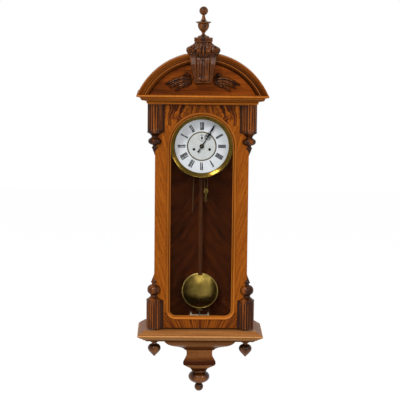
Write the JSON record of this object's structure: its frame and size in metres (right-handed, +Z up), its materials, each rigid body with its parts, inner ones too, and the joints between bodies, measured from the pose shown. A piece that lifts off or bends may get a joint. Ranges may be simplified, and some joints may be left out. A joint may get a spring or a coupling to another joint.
{
  "type": "vienna regulator wall clock",
  "caption": "Wall clock in a tall glazed walnut case with arched pediment, hinged door, white dial, two-train movement and wood-rod pendulum.",
  "frame": {"origin": "the point of the wall straight behind the axis of the hands, on the backboard's back face", "axes": "+Z up, +Y back into the wall, +X to the viewer's right"},
  "size_m": [0.416, 0.207, 1.2713],
  "materials": {
    "walnut": "french-polished walnut, warm orange brown",
    "dark_walnut": "dark stained walnut board",
    "carved_walnut": "dark polished carved walnut",
    "rod_wood": "reddish brown varnished rod",
    "brass": "lacquered brass",
    "steel": "polished steel",
    "iron": "black cast iron",
    "blued_steel": "blued steel, nearly black",
    "enamel": "white vitreous enamel",
    "ivory": "ivory-white scale",
    "gut": "gut line",
    "glass": "clear sheet glass"
  },
  "bodies": {
    "case": {"backboard": "dark_walnut", "hanging_plate": "brass", "left_side_frame": "walnut", "right_side_frame": "walnut", "left_side_glass": "glass", "right_side_glass": "glass", "cornice": "walnut", "base_moulding": "walnut", "console_bracket": "walnut", "left_pendant": "walnut", "right_pendant": "walnut", "bottom_finial": "walnut", "upper_hinge": "brass", "lower_hinge": "brass", "movement_back_plate": "brass", "movement_front_plate": "brass", "movement_bracket": "iron", "gong": "steel", "suspension_cock": "brass", "suspension_spring": "steel", "beat_scale": "ivory", "dial": "enamel", "dial_bezel": "brass", "dial_ring": "brass", "going_line": "gut", "strike_line": "gut"},
    "pediment": {"arch_moulding": "walnut", "tympanum": "walnut", "keystone": "carved_walnut", "urn_finial": "walnut", "left_leaf_spray": "carved_walnut", "right_leaf_spray": "carved_walnut"},
    "door": {"door_frame": "walnut", "window_bead": "walnut", "door_glass": "glass", "upper_left_column": "carved_walnut", "upper_right_column": "carved_walnut", "lower_left_column": "carved_walnut", "lower_right_column": "carved_walnut", "upper_hinge_leaf": "brass", "lower_hinge_leaf": "brass"},
    "centre": {"centre_wheel": "brass", "minute_hand": "blued_steel"},
    "hour": {"hour_wheel": "brass", "hour_hand": "blued_steel"},
    "motion": {"minute_wheel": "brass"},
    "great": {"great_wheel": "brass"},
    "third": {"third_wheel": "brass"},
    "escape": {"escape_wheel": "brass", "seconds_hand": "blued_steel"},
    "drum": {"winding_drum": "brass"},
    "pulley": {"pulley_bail": "brass"},
    "sheave": {"line_sheave": "brass"},
    "strike_barrel": {"strike_drum": "brass"},
    "pin": {"pin_wheel": "brass"},
    "hammer": {"strike_hammer": "steel"},
    "crutch": {"anchor": "steel"},
    "pendulum": {"pendulum_rod": "rod_wood"},
    "bob": {"pendulum_bob": "brass"},
    "nut": {"rating_nut": "brass"}
  },
  "joints": [
    {"name": "pediment_lift", "type": "slide", "parent": "case", "child": "pediment", "axis": [0, 0, 1], "range_m": [0, 0.06]},
    {"name": "door_swing", "type": "hinge", "parent": "case", "child": "door", "pos_m": [0.152, -0.128, 0], "axis": [0, 0, 1], "range_deg": [0, 105]},
    {"name": "minute_turn", "type": "hinge", "parent": "case", "child": "centre", "pos_m": [0, 0, 0], "axis": [0, 1, 0], "continuous": true},
    {"name": "hour_turn", "type": "hinge", "parent": "case", "child": "hour", "pos_m": [0, 0, 0], "axis": [0, 1, 0], "continuous": true},
    {"name": "motion_turn", "type": "hinge", "parent": "case", "child": "motion", "pos_m": [0, 0, -0.0125], "axis": [0, 1, 0], "continuous": true},
    {"name": "great_turn", "type": "hinge", "parent": "case", "child": "great", "pos_m": [0.025, 0, -0.0103], "axis": [0, 1, 0], "continuous": true},
    {"name": "third_turn", "type": "hinge", "parent": "case", "child": "third", "pos_m": [-0.01589, 0, 0.01463], "axis": [0, 1, 0], "continuous": true},
    {"name": "escape_turn", "type": "hinge", "parent": "case", "child": "escape", "pos_m": [0, 0, 0.0263], "axis": [0, 1, 0], "continuous": true},
    {"name": "pulley_travel", "type": "slide", "parent": "case", "child": "pulley", "axis": [0, 0, 1], "range_m": [-0.28, 0.015], "deforming": ["going_line"]},
    {"name": "drum_turn", "type": "hinge", "parent": "case", "child": "drum", "pos_m": [0.025, 0, -0.0103], "axis": [0, 1, 0], "range_deg": [-2300, 130]},
    {"name": "sheave_turn", "type": "hinge", "parent": "pulley", "child": "sheave", "pos_m": [0.0157, 0, -0.149], "axis": [0, 1, 0], "range_deg": [-3420, 185]},
    {"name": "strike_turn", "type": "hinge", "parent": "case", "child": "strike_barrel", "pos_m": [-0.025, 0, -0.0103], "axis": [0, 1, 0], "continuous": true},
    {"name": "pin_turn", "type": "hinge", "parent": "case", "child": "pin", "pos_m": [-0.04093, 0, 0.00739], "axis": [0, 1, 0], "continuous": true},
    {"name": "hammer_swing", "type": "hinge", "parent": "case", "child": "hammer", "pos_m": [-0.047, 0, 0.046], "axis": [0, 1, 0], "range_deg": [0, 10]},
    {"name": "pendulum_swing", "type": "hinge", "parent": "case", "child": "pendulum", "pos_m": [0, 0, 0.074], "axis": [0, 1, 0], "range_deg": [-2.5, 2.5]},
    {"name": "crutch_swing", "type": "hinge", "parent": "case", "child": "crutch", "pos_m": [0, 0, 0.074], "axis": [0, 1, 0], "range_deg": [-2.5, 2.5]},
    {"name": "rating_turn", "type": "hinge", "parent": "bob", "child": "nut", "pos_m": [0, -0.04, -0.5453], "axis": [0, 0, 1], "range_deg": [-800, 800]},
    {"name": "bob_rise", "type": "slide", "parent": "pendulum", "child": "bob", "axis": [0, 0, 1], "range_m": [-0.0014, 0.0014]}
  ],
  "couplings": [
    {"joint": "hour_turn", "follows": "minute_turn", "ratio": 0.083333},
    {"joint": "motion_turn", "follows": "minute_turn", "ratio": -0.33333},
    {"joint": "great_turn", "follows": "minute_turn", "ratio": -0.083333},
    {"joint": "third_turn", "follows": "minute_turn", "ratio": -8},
    {"joint": "escape_turn", "follows": "minute_turn", "ratio": 60},
    {"joint": "drum_turn", "follows": "pulley_travel", "rad_per_m": 142.86},
    {"joint": "sheave_turn", "follows": "pulley_travel", "rad_per_m": 212.77},
    {"joint": "pin_turn", "follows": "strike_turn", "ratio": -7.5},
    {"joint": "crutch_swing", "follows": "pendulum_swing", "ratio": 1},
    {"joint": "rating_turn", "follows": "bob_rise", "rad_per_m": 8976}
  ]
}
